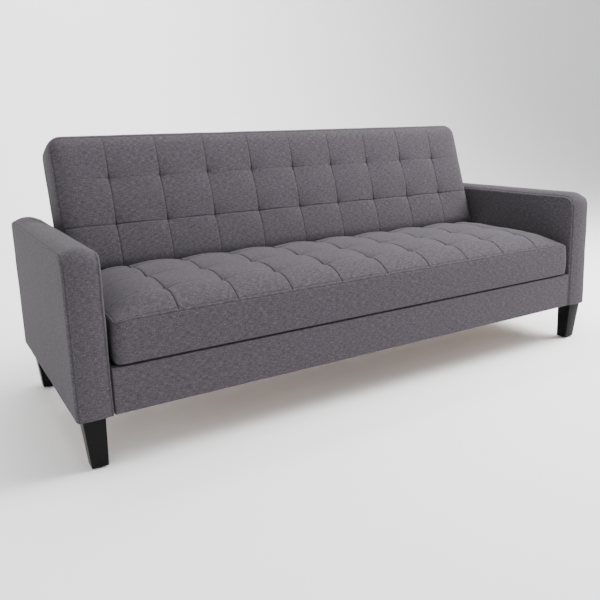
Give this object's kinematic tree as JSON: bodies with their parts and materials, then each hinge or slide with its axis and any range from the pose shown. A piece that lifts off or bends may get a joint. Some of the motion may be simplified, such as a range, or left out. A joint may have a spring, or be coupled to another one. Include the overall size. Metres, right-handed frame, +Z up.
{
  "type": "futon sofa bed",
  "caption": "Tufted fabric futon sofa bed with slim square arms, a lifting seat over a storage box and a back that folds down flat to make a bed, on tapered legs.",
  "frame": {"origin": "on the floor, at the centre of the bounding box", "axes": "+X along the width, +Y to the rear so that the front faces -Y, +Z up"},
  "size_m": [2.03, 0.85, 0.8761],
  "materials": {
    "upholstery": "matte",
    "foam": "matte",
    "lining": "matte",
    "twine": "matte",
    "pine": "matte",
    "black_pine": "matte",
    "hardboard": "matte",
    "leg_black": "satin",
    "glide": "matte",
    "zinc_steel": "satin",
    "black_steel": "satin"
  },
  "bodies": {
    "base": {"box_bolts": "zinc_steel", "box_floor": "hardboard", "bracket_screws": "zinc_steel", "floor_battens": "black_pine", "front_rail_board": "pine", "front_rail_cover": "upholstery", "front_rail_padding": "foam", "left_arm_cover": "upholstery", "left_arm_foam": "foam", "left_arm_inner_panel": "hardboard", "left_arm_lower_rail": "pine", "left_arm_outer_panel": "hardboard", "left_arm_posts": "pine", "left_arm_top_rail": "pine", "left_box_side": "black_pine", "left_front_leg": "leg_black", "left_hinge_bracket": "black_steel", "left_rear_leg": "leg_black", "leg_bolts": "zinc_steel", "leg_glides": "glide", "leg_nuts": "zinc_steel", "pivot_bolts": "zinc_steel", "rear_box_board": "black_pine", "rear_stretcher": "black_pine", "right_arm_cover": "upholstery", "right_arm_foam": "foam", "right_arm_inner_panel": "hardboard", "right_arm_lower_rail": "pine", "right_arm_outer_panel": "hardboard", "right_arm_posts": "pine", "right_arm_top_rail": "pine", "right_box_side": "black_pine", "right_front_leg": "leg_black", "right_hinge_bracket": "black_steel", "right_rear_leg": "leg_black", "stretcher_dowels": "pine"},
    "seat": {"left_seat_strap": "black_steel", "right_seat_strap": "black_steel", "seat_cover": "upholstery", "seat_cross_rails": "pine", "seat_end_rails": "pine", "seat_foam": "foam", "seat_lining": "lining", "seat_long_rails": "pine", "seat_slats": "pine", "seat_strap_screws": "zinc_steel", "seat_tuft_ties": "twine"},
    "back": {"back_cover": "upholstery", "back_cross_rails": "pine", "back_end_rails": "pine", "back_foam": "foam", "back_long_rails": "pine", "back_panel": "hardboard", "back_slats": "pine", "back_strap_screws": "zinc_steel", "back_strap_spacers": "zinc_steel", "back_tuft_ties": "twine", "left_back_strap": "black_steel", "right_back_strap": "black_steel"}
  },
  "joints": [
    {"name": "seat_lift", "type": "hinge", "parent": "base", "child": "seat", "pos_m": [0, 0.139, 0.42], "axis": [-1, 0, 0], "range_deg": [0, 30]},
    {"name": "back_recline", "type": "hinge", "parent": "seat", "child": "back", "pos_m": [0, 0.139, 0.42], "axis": [-1, 0, 0], "range_deg": [0, 72.3]}
  ]
}
